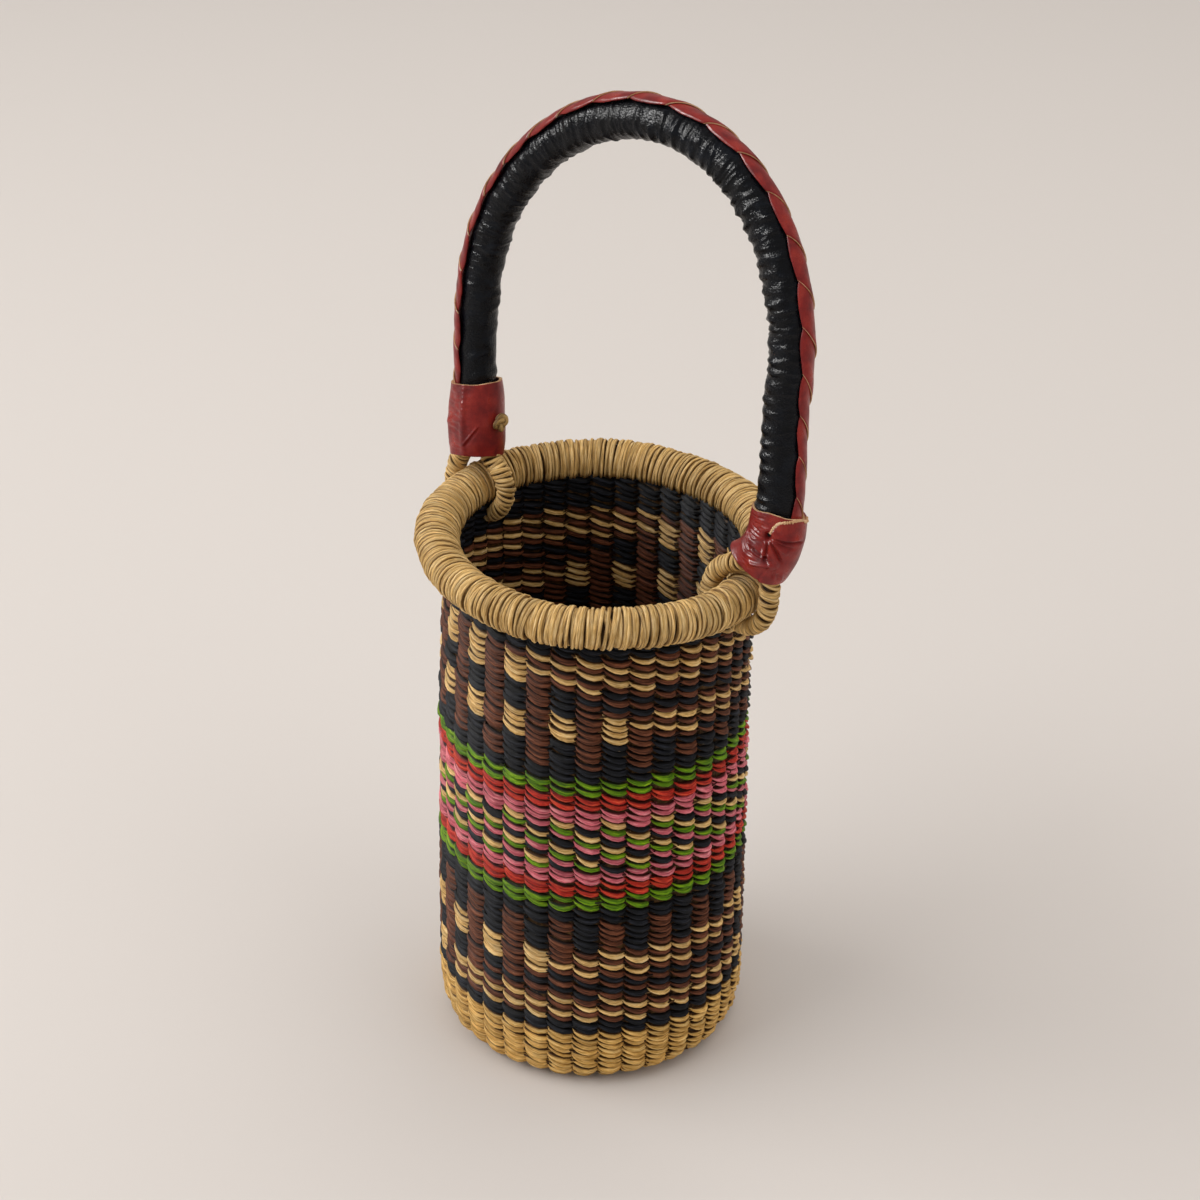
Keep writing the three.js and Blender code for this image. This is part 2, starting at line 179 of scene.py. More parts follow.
def straw_material(name, base, dark, light, fleck=None, fleck_level=0.7, roughness=0.62, edges=WOVEN_PAINTED_SHADE):
    """Split grass: fibres run along each strand, and every strand has a tone of its own."""
    material, tree, shader = new_material(name)
    fibre = node(tree, "ShaderNodeAttribute", attribute_name="fibre").outputs["Vector"]
    shade = node(tree, "ShaderNodeAttribute", attribute_name="shade").outputs["Fac"]
    seed = maths(tree, "MULTIPLY", shade, 60.0)
    fine = texture_noise(tree, stretched(tree, fibre, (1.9, 1.9, 0.11)), 1.6, 4.0, seed, 0.62)
    broad = texture_noise(tree, stretched(tree, fibre, (0.9, 0.9, 0.3)), 1.0, 2.0, seed)
    colour = ramp(tree, fine, [(0.36, srgb(dark)), (0.5, srgb(base)), (0.64, srgb(light))])
    tone = ramp(tree, broad, [(0.3, (0.78, 0.76, 0.74, 1)), (0.7, (1.12, 1.1, 1.06, 1))])
    colour = mix(tree, 1.0, colour, tone, "MULTIPLY")
    own = maths(tree, "FRACT", maths(tree, "MULTIPLY", shade, 17.0))
    own_tone = ramp(tree, own, [(0.0, (0.8, 0.79, 0.78, 1)), (1.0, (1.14, 1.13, 1.12, 1))])
    colour = mix(tree, 1.0, colour, own_tone, "MULTIPLY")
    # Painted shade and highlight across each straw from the edges table, tinted warm where darkest; a
    # stitch's free tip is left without it
    place = node(tree, "ShaderNodeSeparateXYZ", {"Vector": fibre}).outputs
    stops = [(at, (level, level ** 1.15, level ** 1.3, 1)) for at, level in edges]
    painted_edge_shade = ramp(tree, map_range(tree, place["X"], from_min=-1.0), stops)
    if edges is WOVEN_PAINTED_SHADE:
        length = maths(tree, "DIVIDE", place["Z"], STITCH_LENGTH_MM)
        painted_edge_shade = mix(tree, ramp(tree, length, FREE_TIP), painted_edge_shade, (1, 1, 1, 1))
    colour = mix(tree, 1.0, colour, painted_edge_shade, "MULTIPLY")
    if fleck:
        other_seed = maths(tree, "ADD", seed, 31.0)
        bare = texture_noise(tree, stretched(tree, fibre, (3.4, 3.4, 0.3)), 1.1, 3.0, other_seed)
        amount = ramp(tree, bare, [(fleck_level, (0, 0, 0, 1)), (fleck_level + 0.05, (1, 1, 1, 1))])
        colour = mix(tree, amount, colour, srgb(fleck))
    rough = map_range(tree, fine, to_min=roughness + 0.12, to_max=roughness - 0.1)
    dress(tree, shader, colour, rough, fine, 0.85, 0.5 * MM, 0.22)
    return material


STRAW = {
    "tan": straw_material("straw_tan", "E6BE7A", "B08746", "F7DBA2"),
    "natural": straw_material("straw_natural", "E0B365", "AA7D36", "F6D48C"),
    "rim": straw_material("straw_rim", "DDB773", "A57D40", "F6DCA6", edges=WOUND_PAINTED_SHADE),
    # Dark straw as painted shadow, laid where only the gaps of the wall, rim and loops show it
    "shadow": straw_material("straw_painted_shadow", "4C3519", "2F200E", "624722", edges=WOUND_PAINTED_SHADE),
    "knot": straw_material("straw_knot", "BC9A60", "7A5E34", "DDBC80", edges=WOUND_PAINTED_SHADE),
    "brown": straw_material("straw_brown", "673A25", "3F2013", "8A543A", "C39A66", 0.72),
    "navy": straw_material("straw_navy", "11141B", "06070A", "2A2E3A", "B8A078", 0.74),
    "green": straw_material("straw_green", "5F8F06", "3A5D04", "92B612", "C5B66A", 0.75),
    "red": straw_material("straw_red", "C93324", "8E1C17", "E35A3A", "D9A878", 0.76),
    "pink": straw_material("straw_pink", "E07080", "AC4A59", "F2A2A9", "DDB692", 0.76),
}
COLOURS = list(STRAW)


def new_object(name, parts, slots, smooth, materials):
    """An object at the origin made of gathered parts, with a slot for each face."""
    mesh = bpy.data.meshes.new(name)
    mesh.from_pydata(np.concatenate(parts.points).tolist(), [], np.concatenate(parts.faces).tolist())
    for material in materials:
        mesh.materials.append(material)
    mesh.polygons.foreach_set("material_index", slots.astype(np.int32))
    mesh.polygons.foreach_set("use_smooth", smooth)
    return bpy.data.objects.new(name, mesh)


class Gathered:
    """Parts gathered into one mesh."""

    def __init__(self):
        self.points, self.faces, self.slots = [], [], []
        self.fibres, self.shades = [], []
        self.count = 0


class Strands(Gathered):
    """Flat straw strands, with a material for each colour."""

    def add(self, centres, across, out, half_widths, half_depths, colours, sides=8, closed=False):
        """Centres and ways are (strands, rings, 3), the half sizes (strands, rings)."""
        strands, rings = half_widths.shape
        turn = even_turns(sides) + math.pi / sides
        points = centres[:, :, None] + across[:, :, None] * (half_widths[..., None] * np.cos(turn))[..., None]
        points = points + out[:, :, None] * (half_depths[..., None] * np.sin(turn))[..., None]
        steps = np.linalg.norm(np.diff(centres, axis=1), axis=2)
        along = np.concatenate([np.zeros((strands, 1)), np.cumsum(steps, axis=1)], axis=1) / MM
        fibre = np.stack(np.broadcast_arrays(np.cos(turn), np.sin(turn), along[..., None]), axis=-1)
        spans = rings if closed else rings - 1
        ring, side = np.meshgrid(np.arange(spans), np.arange(sides), indexing="ij")
        after, beside = (ring + 1) % rings, (side + 1) % sides
        corners = [(ring, side), (ring, beside), (after, beside), (after, side)]
        quads = np.stack([at * sides + place for at, place in corners], axis=-1).reshape(-1, 4)
        if not closed:
            halves = np.arange(sides // 2 - 1)
            cap = np.stack([halves, sides - 1 - halves, sides - 2 - halves, halves + 1], axis=-1)
            quads = np.concatenate([quads, cap, cap[:, ::-1] + (rings - 1) * sides])
        size = rings * sides
        starts = self.count + np.arange(strands) * size
        self.faces.append((quads[None] + starts[:, None, None]).reshape(-1, 4))
        self.slots.append(np.repeat([COLOURS.index(c) for c in colours], len(quads)))
        self.points.append(points.reshape(-1, 3))
        self.fibres.append(fibre.reshape(-1, 3))
        self.shades.append(np.repeat(RNG.random(strands), size))
        self.count += strands * size

    def build(self, name, body, nodes, slot="straw"):
        used, slots = np.unique(np.concatenate(self.slots), return_inverse=True)
        materials = [STRAW[COLOURS[index]] for index in used]
        piece = new_object(name, self, slots, np.ones(len(slots), bool), materials)
        fibre = piece.data.attributes.new("fibre", "FLOAT_VECTOR", "POINT")
        fibre.data.foreach_set("vector", np.concatenate(self.fibres).astype(np.float32).ravel())
        shade = piece.data.attributes.new("shade", "FLOAT", "POINT")
        shade.data.foreach_set("value", np.concatenate(self.shades).astype(np.float32))
        place(piece, body, slot, nodes)


def place(piece, body, slot, nodes):
    """Links a finished piece, rides it on its body and hides the imported parts it stands for."""
    piece.data.update()
    bpy.context.scene.collection.objects.link(piece)
    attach(piece, body)
    if nodes:
        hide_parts(*nodes)


def unit(vectors):
    return vectors / np.linalg.norm(vectors, axis=-1, keepdims=True)


def even_turns(count):
    return np.linspace(0, 2 * math.pi, count, endpoint=False)


def bell(value, middle, width):
    return np.exp(-(((value - middle) / width) ** 2))


def level_way(angle):
    """The level way out from the basket's axis at each angle."""
    return np.stack([np.cos(angle), np.sin(angle), np.zeros_like(angle)], axis=-1)


def way_round(turn, first, second):
    """The way at each turn from a first direction towards a second."""
    return np.cos(turn)[..., None] * first + np.sin(turn)[..., None] * second


def at_height(points, height):
    """The points, or ways, with their height set."""
    points[..., 2] = height
    return points


def wall_radius(z):
    share = (z - FOOT_Z) / (WALL_TOP - FOOT_Z)
    drawn_in = FOOT_DRAWN_IN * np.clip(1 - (z - FOOT_Z) / FOOT_DRAWN_HEIGHT, 0, 1) ** 2
    return RIDGE_AT_FOOT + (RIDGE_AT_TOP - RIDGE_AT_FOOT) * share - drawn_in


def out_of_round(angle):
    """How far the rim lies outside a true circle round the foot's middle."""
    return (1.98 * np.cos(angle - 0.801) + 1.48 * np.cos(2 * angle + 0.961)) * MM


def wall_frame(z, angle):
    """Point on the ridges' outer envelope at a height and angle, and the ways up and out there."""
    drawn_out = np.clip((z - ROUND_BELOW) / (WALL_TOP - ROUND_BELOW), 0, 1) ** 2
    radius = wall_radius(z) + out_of_round(angle) * drawn_out
    slope = (RIDGE_AT_TOP - RIDGE_AT_FOOT) / (WALL_TOP - FOOT_Z)
    flat = level_way(angle)
    up = unit(at_height(flat * slope, 1))
    return at_height(flat * radius[..., None], z), up, unit(at_height(flat, -slope))


# Half sizes of a stitch in millimetres, and its tilt in radians
STITCH_HALF_WIDTH = 1.56
STITCH_HALF_DEPTH = 0.6
STITCH_TILT = 0.76
# Share of a stitch's half length at which each ring lies
FRONT_SHARES = np.array([-1.0, -0.84, -0.56, -0.2, 0.2, 0.56, 0.84, 1.0])
BACK_SHARES = np.array([-1.0, -0.6, 0.0, 0.6, 1.0])


def stitches(strands, surface, height, colours, inside):
    """One row's stitches on one face of the wall or base, all the way round."""
    shares = BACK_SHARES if inside else FRONT_SHARES
    count = len(colours)
    half = np.where(shares < 0, 0.58, 0.62) + varied(count, 0.02)
    angle = (np.arange(count)[:, None] + 0.5 + shares * half) * (2 * math.pi / count)
    fall = np.where(shares < 0, 1.75, 1.15) * MM + varied(count, 0.3 * MM)
    lift = varied(count, 0.25 * MM) - 0.75 * MM * (1 - shares ** 2)
    point, up, out = surface(height + lift - shares * fall * (-1 if inside else 1), angle)
    depth = np.where(shares < 0, 1.05, 3.5) * np.abs(shares) ** 2.1 * MM
    depth = depth + 1.5 * MM * np.where(shares < 0, shares ** 10, 0)
    proud = varied(count, 0.3 * MM)
    half_depth = (STITCH_HALF_DEPTH - 0.24 * np.abs(shares) ** 3) * MM * np.ones((count, 1))
    width = (STITCH_HALF_WIDTH + varied(count, 0.15)) * MM
    pointed = 0.12 + 0.88 * (1 - shares ** 2) ** 0.75
    blunt = 0.5 + 0.5 * (1 - np.abs(shares) ** 2.6) ** 0.6
    half_width = width * np.where(shares < 0, pointed, blunt)
    tilt = STITCH_TILT + RNG.normal(0, 0.05)
    lean = -tilt if inside else tilt
    sunk = half_depth + half_width * math.sin(tilt)
    if inside:
        offset = -WALL_THICKNESS + sunk + depth * 0.8 - proud
    else:
        offset = -sunk - depth + proud
    centre = point + out * offset[..., None]
    across = up * math.cos(lean) - out * math.sin(lean)
    facing = out * math.cos(lean) + up * math.sin(lean)
    strands.add(centre, across, facing, half_width, half_depth, colours, 6 if inside else 8)


# The dark bands are woven in lines on one side and in columns on the other, which comes round twice
PATTERN_COLUMNS = 19


def upper_in_lines(column, z):
    """Whether the upper dark band is woven in lines at a column and height."""
    offset = (column - 29) % PATTERN_COLUMNS
    if offset > 13:
        return False
    if offset > 11:
        return z > 172 * MM
    return z > max(190 - 5.6 * offset, 152) * MM


def lower_in_lines(column, z):
    offset = (column - 24) % PATTERN_COLUMNS
    return offset <= 15 and z < min(27 + 5.2 * offset, 67) * MM


def zones(*runs):
    return [zone for zone, rows in runs for _ in range(rows)]


UPPER_ZONES = zones(("plain", 5), ("tan", 5), ("navy", 4), ("tan", 4), ("navy", 4), ("plain", 2))
LOWER_ZONES = zones(("plain", 2), ("navy", 5), ("tan", 4), ("navy", 4), ("tan", 4), ("plain", 2))


def dark_pair(row_zones, in_lines, first_column):
    """Front and back colour of a stitch in a dark band, by row from the top, column and height."""
    def pick(row, column, z):
        zone = row_zones[row]
        if zone == "plain":
            return "navy", "navy"
        shift = row if in_lines(column, z) else 0
        is_first = (column + shift - first_column) % 2 == 0
        return (zone, "brown") if is_first else ("brown", zone)
    return pick


CHECK_ROWS = range(2, 10)


def check_pair(row, column, z):
    if row not in CHECK_ROWS:
        return "pink", "pink"
    row -= CHECK_ROWS[0]
    pair = ("tan", "pink") if row % 2 == 0 else ("green", "navy")
    index = (column + 1 + row // 2) % 2
    return pair[index], pair[1 - index]


def plain_pair(colour):
    return lambda row, column, z: (colour, colour)


# Rows, colours and material slot of each band
BANDS = {
    "foot": (7, plain_pair("natural"), "straw"),
    "lower_dark": (21, dark_pair(LOWER_ZONES, lower_in_lines, 0), "dark_straw"),
    "lower_green": (2, plain_pair("green"), "green_straw"),
    "lower_red": (2, plain_pair("red"), "red_straw"),
    "check": (12, check_pair, "pink_straw"),
    "upper_red": (2, plain_pair("red"), "red_straw"),
    "upper_green": (2, plain_pair("green"), "green_straw"),
    "upper_dark": (24, dark_pair(UPPER_ZONES, upper_in_lines, 1), "dark_straw"),
}


def make_bands():
    for band, (rows, pair, slot) in BANDS.items():
        low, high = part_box(f"{band}_band")
        strands = Strands()
        for row in range(rows):
            z = high.z - (row + 0.5) * (high.z - low.z) / rows
            faces = zip(*[pair(row, column, z) for column in range(STAKE_COUNT)])
            for inside, colours in enumerate(faces):
                stitches(strands, wall_frame, z, colours, inside)
        strands.build(f"{band}_weave", "basket", [f"{band}_band"], slot)


def base_frame(run, angle):
    """The base's outer skin by the distance from its centre, round the corner and up to the wall."""
    turn = np.clip((run - BASE_FLAT_RADIUS) / BASE_CORNER_RUN, 0, 1) * math.pi / 2
    radius = np.minimum(run, BASE_FLAT_RADIUS) + BASE_CORNER * np.sin(turn)
    flat = level_way(angle)
    point = at_height(flat * radius[..., None], BASE_EDGE_Z * (1 - np.cos(turn)))
    up = at_height(flat * np.cos(turn)[..., None], np.sin(turn))
    out = at_height(flat * np.sin(turn)[..., None], -np.cos(turn))
    return point, unit(up), unit(out)


def make_base():
    """Rows of twining from the corner in to the middle, with fewer stitches where it gets narrow."""
    strands = Strands()
    run = BASE_FLAT_RADIUS + BASE_CORNER_RUN - BASE_ROW_PITCH / 2
    while run > BASE_COUNTS[-1][0]:
        count = next(count for least, count in BASE_COUNTS if run > least)
        for inside in (False, True):
            stitches(strands, base_frame, run, ["natural"] * count, inside)
        run -= BASE_ROW_PITCH
    strands.build("base_weave", "basket", ["base"])


def make_stakes():
    """The flat upright straws that the rows cross between, seen only in the gaps, in dark straw as painted
    shadow there.
    """
    strands = Strands()
    z = np.linspace(FOOT_Z, WALL_TOP, 14)
    angle = (np.arange(STAKE_COUNT)[:, None] + 0.5) * 2 * math.pi / STAKE_COUNT + np.zeros((1, len(z)))
    point, up, out = wall_frame(np.broadcast_to(z, angle.shape), angle)
    centre = point - out * (WALL_THICKNESS / 2 + 0.3 * MM)
    along = np.cross(out, up)
    half_width = STAKE_HALF_WIDTH + RNG.normal(0, 0.08 * MM, angle.shape)
    half_depth = np.full(angle.shape, STAKE_HALF_DEPTH)
    strands.add(centre, along, out, half_width, half_depth, ["shadow"] * STAKE_COUNT)
    strands.build("stake_straws", "basket", STAKES)


def rim_centre(angle):
    """Middle of the rim roll, out of round and out of level as a hand-bound rim is."""
    radius = RIM_RADIUS + out_of_round(angle) + 0.25 * MM * np.sin(5 * angle + 2.1)
    height = RIM_Z + 0.48 * MM * np.cos(angle - 2.987) + 0.25 * MM * np.sin(7 * angle)
    return radius, height


def leaned(first, second):
    """Outward and upward parts of steps along the section's longer and shorter axes."""
    cos, sin = math.cos(RIM_SECTION_LEAN), math.sin(RIM_SECTION_LEAN)
    return first * cos - second * sin, first * sin + second * cos


def rim_section(section, sunk):
    """Outward and upward reach of the roll's skin round its section, and the way out of it."""
    turn = section - RIM_SECTION_LEAN
    reach, rise = leaned((RIM_LONG - sunk) * np.cos(turn), (RIM_SHORT - sunk) * np.sin(turn))
    first, second = np.cos(turn) / RIM_LONG, np.sin(turn) / RIM_SHORT
    way_out, way_up = leaned(first, second)
    size = np.hypot(first, second)
    return reach, rise, way_out / size, way_up / size


def rim_layer(strands, turns, width, sunk, slant, slant_spread, bow_spread):
    """One layer of straw wound round the grass roll and down over the wall's upper edge."""
    share = np.linspace(0, 1, 18)
    start = np.arange(turns)[:, None] + varied(turns, 0.15)
    section = RIM_STRAW_FROM + share * RIM_STRAW_SWEEP
    slants = slant + varied(turns, slant_spread)
    bow = varied(turns, bow_spread)
    twist = varied(turns, bow_spread)
    wander = bow * np.sin(share * math.pi) + twist * np.sin(share * 2 * math.pi)
    angle = (start + slants * (share - 0.5) + wander) * 2 * math.pi / turns
    radius, height = rim_centre(angle)
    proud = varied(turns, 0.15 * MM) + 0.16 * MM * np.sin(6 * share + 3 * start)
    reach, rise, way_out, way_up = rim_section(section + np.zeros((turns, 1)), sunk - proud)
    flat = level_way(angle)
    centre = at_height(flat * (radius + reach)[..., None], height + rise)
    out = at_height(flat * way_out[..., None], way_up)
    along = unit(np.gradient(centre, axis=1))
    across = unit(np.cross(out, along))
    swell = 1 + 0.17 * np.sin(9 * share + RNG.random((turns, 1)) * 6)
    half_width = (width + varied(turns, 0.1)) * MM
    half_width = half_width * (0.8 + 0.2 * np.sin(share * math.pi)) * swell
    half_depth = np.full(half_width.shape, 0.8 * MM)
    strands.add(centre, across, out, half_width, half_depth, ["rim"] * turns)


def make_rim():
    """A tight layer of straw and a looser, slanting one over it."""
    strands = Strands()
    rim_layer(strands, RIM_TURNS * 4 // 5, 1.2, 1.45 * MM, 0.2, 0.5, 0.2)
    rim_layer(strands, RIM_TURNS, 0.86, 0.75 * MM, 2.0, 0.36, 0.17)
    strands.build("rim_winding", "basket", ["rim_binding"])


def make_rim_core():
    """The grass roll under the winding, seen between its turns, in dark straw as painted shadow there."""
    strands = Strands()
    angle = even_turns(144)[None]
    radius, height = rim_centre(angle)
    out = level_way(angle)
    centre = at_height(out * radius[..., None], height)
    half = np.full(angle.shape, RIM_SHORT - 1.5 * MM)
    strands.add(centre, np.array([[[0, 0, 1.0]]]), out, half, half, ["shadow"], 28, closed=True)
    strands.build("rim_bundle", "basket", ["rim_core"])


# Handle, fitted to the photograph: heights are taken from the hinge, up the leaning handle
HANDLE_LEAN = math.radians(10)
HINGE = np.array([0, 0, 196.05 * MM])
LEFT_LEG = (63.5 * MM, 67.2 * MM)
RIGHT_LEG = (70.9 * MM, 74.3 * MM)
ARCH_HALF_WIDTH = 70.2 * MM
ARCH_RISE = 77.9 * MM
ARCH_SIDE_STEP = 3.9 * MM
SPRINGING = 92 * MM
FOOT = 29.25 * MM
KNEE = 53.75 * MM
SLEEVE_BOTTOM = 42.1 * MM
HANDLE_NORMAL = np.array([0, -math.cos(HANDLE_LEAN), math.sin(HANDLE_LEAN)])
HANDLE_UP = np.array([0, math.sin(HANDLE_LEAN), math.cos(HANDLE_LEAN)])
SIDEWAYS = np.array([1.0, 0, 0])


def in_handle(x, height):
    """Points of the handle's own plane."""
    return np.multiply.outer(x, SIDEWAYS) + np.multiply.outer(height, HANDLE_UP) + HINGE


def leg_reach(leg, height):
    """Distance from the middle to a leg, whose reach is given at its foot and its knee."""
    foot, knee = leg
    share = (SPRINGING - height) / (SPRINGING - FOOT)
    knee_share = (SPRINGING - KNEE) / (SPRINGING - FOOT)
    cubed = ((knee - ARCH_HALF_WIDTH) / knee_share ** 2 - (foot - ARCH_HALF_WIDTH)) / (knee_share - 1)
    squared = foot - ARCH_HALF_WIDTH - cubed
    return ARCH_HALF_WIDTH + squared * share ** 2 + cubed * share ** 3


def leg_slope(leg, height):
    step = 0.1 * MM
    return (leg_reach(leg, height + step) - leg_reach(leg, height - step)) / (2 * step)


def along_line(distance, run, points):
    """Points, or ways, at distances along a line that has each of them at its own."""
    return np.stack([np.interp(distance, run, column) for column in points.T], axis=-1)


def resampled(points, spacing):
    """Points at even distances along a line, and those distances."""
    steps = np.linalg.norm(np.diff(points, axis=0), axis=1)
    run = np.concatenate([[0], np.cumsum(steps)])
    even = np.linspace(0, run[-1], max(int(round(run[-1] / spacing)), 2) + 1)
    return along_line(even, run, points), even


def handle_line(low, spacing):
    """The handle's middle line from left to right, and the ways along and out there."""
    leg = np.linspace(low, SPRINGING, 60)[:-1]
    turn = np.linspace(math.pi, 0, 240)
    x = np.concatenate([
        -leg_reach(LEFT_LEG, leg), ARCH_HALF_WIDTH * np.cos(turn) + ARCH_SIDE_STEP * np.sin(turn) ** 2,
        leg_reach(RIGHT_LEG, leg[::-1])])
    height = np.concatenate([leg, SPRINGING + ARCH_RISE * np.sin(turn), leg[::-1]])
    line, run = resampled(in_handle(x, height), spacing)
    along = unit(np.gradient(line, axis=0))
    return line, run, along, unit(np.cross(HANDLE_NORMAL, along))


def noise_at(*axes):
    """Smooth noise over grids of coordinates."""
    places = np.stack(np.broadcast_arrays(*axes), axis=-1)
    values = [noise.noise(Vector(place)) for place in places.reshape(-1, 3).tolist()]
    return np.array(values).reshape(places.shape[:-1])


class Shells(Gathered):
    """Leather pieces with an outer and an inner skin and the hide's raw edge between them."""

    def add(self, outer, inner, wrap=False, side_slot=1):
        """Grids of points: rows run along the handle and columns from its outer side to its front."""
        rows, columns = outer.shape[:2]
        index = np.arange(rows * columns).reshape(rows, columns)
        if wrap:
            index = np.concatenate([index, index[:, :1]], axis=1)
        under = index + rows * columns
        corners = (index[:-1, :-1], index[:-1, 1:], index[1:, 1:], index[1:, :-1])
        quads = np.stack(corners, axis=-1).reshape(-1, 4)
        edges = [
            (under[0, :-1], under[0, 1:], index[0, 1:], index[0, :-1]),
            (index[-1, :-1], index[-1, 1:], under[-1, 1:], under[-1, :-1]),
        ]
        if not wrap:
            edges += [
                (index[:-1, 0], index[1:, 0], under[1:, 0], under[:-1, 0]),
                (under[:-1, -1], under[1:, -1], index[1:, -1], index[:-1, -1]),
            ]
        sides = np.concatenate(
            [np.full(len(edge[0]), 1 if i < 2 else side_slot) for i, edge in enumerate(edges)])
        rim = np.concatenate([np.stack(edge, axis=-1) for edge in edges])
        back = quads[:, ::-1] + rows * columns
        self.faces.append(np.concatenate([quads, back, rim]) + self.count)
        self.slots.append(np.concatenate([np.zeros(2 * len(quads), int), sides]))
        self.points += [outer.reshape(-1, 3), inner.reshape(-1, 3)]
        self.count += 2 * rows * columns

    def build(self, name, nodes, materials, slot="red_leather"):
        slots = np.concatenate(self.slots)
        place(new_object(name, self, slots, slots == 0, materials), "handle", slot, nodes)


def make_tube(name, nodes, skins, *finish):
    shells = Shells()
    shells.add(*skins, wrap=True)
    shells.build(name, nodes, *finish)


def leather_material(name, base, dark, light, roughness, grain=0.3, grain_depth=0.2 * MM, shine=0.5):
    """Hide with a fine grain, clouded in tone and rubbed smooth in places."""
    material, tree, shader = new_material(name)
    spot = node(tree, "ShaderNodeTexCoord").outputs["Object"]
    cloud = texture_noise(tree, spot, 170.0, 5.0, roughness=0.6)
    colour = ramp(tree, cloud, [(0.3, srgb(dark)), (0.52, srgb(base)), (0.75, srgb(light))])
    cells = node(tree, "ShaderNodeTexVoronoi", {"Vector": spot, "Scale": 1450.0}).outputs["Distance"]
    dust = texture_noise(tree, spot, 2600.0, 3.0)
    pores = ramp(tree, cells, [(0.0, (0.82, 0.82, 0.82, 1)), (0.35, (1, 1, 1, 1))])
    colour = mix(tree, 1.0, colour, pores, "MULTIPLY")
    rough = map_range(
        tree, cloud, from_min=0.3, from_max=0.7, to_min=roughness + 0.1, to_max=roughness - 0.1)
    relief = maths(tree, "ADD", maths(tree, "MULTIPLY", cells, 0.7), maths(tree, "MULTIPLY", dust, 0.5))
    dress(tree, shader, colour, rough, relief, grain, grain_depth, shine)
    return material


BLACK_LEATHER = leather_material("leather_black", "0C0E13", "07080B", "161A21", 0.25, 0.6, 0.3 * MM, 0.17)
RED_LEATHER = leather_material("leather_red", "862320", "621619", "A0362C", 0.34, shine=0.3)
RAW_EDGE = leather_material("leather_raw_edge", "CFA57C", "A87C52", "E8CBA6", 0.8, shine=0.2)

# Sleeve and strip: radii and thickness are in millimetres, the angle is in degrees
SLEEVE_RADIUS = 7.1
SLEEVE_INSIDE = 6.45
STRIP_INSIDE = 7.75
STRIP_THICKNESS = 0.42
STRIP_HALF_ANGLE = 44
STRIP_LAPS = 24
STRIP_PITCH = 14.68 * MM
STRIP_START = -15.4 * MM


def strip_edge(share):
    """Where the lace's front edge lies, in degrees round the sleeve, by the share of the way along it."""
    shares = (0, 0.14, 0.32, 0.46, 0.56, 0.68, 0.79, 0.9, 1)
    return np.interp(share, shares, (80, 76, 60, 41, 34, 25, 32, 16, 19))


def make_sleeve():
    """Black leather sewn round the grass core; it puckers across the inner side of every bend."""
    line, run, _, out = handle_line(SLEEVE_BOTTOM, 0.36 * MM)
    distance, turn = np.meshgrid(run / MM, even_turns(40), indexing="ij")

    def ripple(along, spread):
        return noise_at(along, spread * np.cos(turn), spread * np.sin(turn))

    inward = 0.5 - 0.5 * np.cos(turn - 0.25)
    height = (line @ HANDLE_UP) / MM
    over_foot = (height - height[0])[:, None]
    bend = np.clip((over_foot - 30) / 50, 0, 1)
    patch = np.clip(0.6 + 1.7 * np.abs(ripple(distance / 19, 1)), 0, 1.25)
    skew = 1.1 * ripple(distance / 14, 0.6)
    first = ripple(distance / 3.8 + skew, 0.55)
    second = ripple(distance / 2.4 + 9.0 + skew, 0.8)
    crests = np.clip(1 - 3.4 * np.abs(first), 0, 1) ** 1.3
    crests = crests + 0.6 * np.clip(1 - 3.4 * np.abs(second), 0, 1) ** 1.3
    knobs = ripple(distance / 3.6 + 40.0, 1.2)
    lobes = np.clip(knobs + 0.08, 0, 1) * inward ** 1.2
    on_right = (line[:, 0] > 0)[:, None]
    beat = np.sin(distance * 2 * math.pi / 4.9 + 2.6 * noise_at(distance / 7, 3.0, 0.0))
    beads = (0.5 + 0.5 * beat) ** 1.3 * bell(np.degrees(turn), 118, 34) * (0.35 + 1.3 * patch)
    edge = strip_edge(run / run[-1])[:, None]
    from_strip = np.abs((np.degrees(turn) - edge + STRIP_HALF_ANGLE + 180) % 360 - 180)
    patch = patch * np.clip((from_strip - 40) / 14, 0.15, 1)
    lobes = lobes * (1 - 0.6 * bend) * np.where(on_right, 0.8, 1.0)
    puckers = patch * (bend * (0.88 - 0.46 * inward) * crests + lobes)
    before_end = np.clip((run[-1] - run)[:, None] / (8 * MM), 0, 1)
    puckers = puckers + np.where(on_right, 0.5 * beads * before_end, 0)
    flare = inward * np.where(on_right, 2.7 * np.exp(-over_foot / 17), 1.0 * np.exp(-over_foot / 8))
    swell = 0.25 * noise_at(distance / 11, 0.7 * np.cos(turn) + 5, 0.7 * np.sin(turn))
    radius = (SLEEVE_RADIUS + puckers + swell + flare) * MM
    spoke = way_round(turn, out[:, None], HANDLE_NORMAL)
    outer = line[:, None] + spoke * radius[..., None]
    inner = line[:, None] + spoke * SLEEVE_INSIDE * MM
    materials = [BLACK_LEATHER, BLACK_LEATHER]
    make_tube("sleeve_hide", ["handle_sleeve"], (outer, inner), materials, "black_leather")


def make_handle_core():
    """The bundle of grass that the sleeve is sewn round: a ring of eight straws and one in the middle."""
    line, run, along, out = handle_line(FOOT + 2 * MM, 3 * MM)
    strands = Strands()
    half = np.full((1, len(run)), 2.1 * MM)
    for straw in range(9):
        reach = 0 if straw == 8 else 3.7
        turn = straw * math.pi / 4 + run / (60 * MM)
        spoke = way_round(turn, out, HANDLE_NORMAL)
        across = unit(np.cross(spoke, along))
        centre = line + spoke * reach * MM
        strands.add(centre[None], across[None], spoke[None], half, half * 0.9, ["natural"])
    strands.build("handle_bundle", "handle", ["handle_core"])


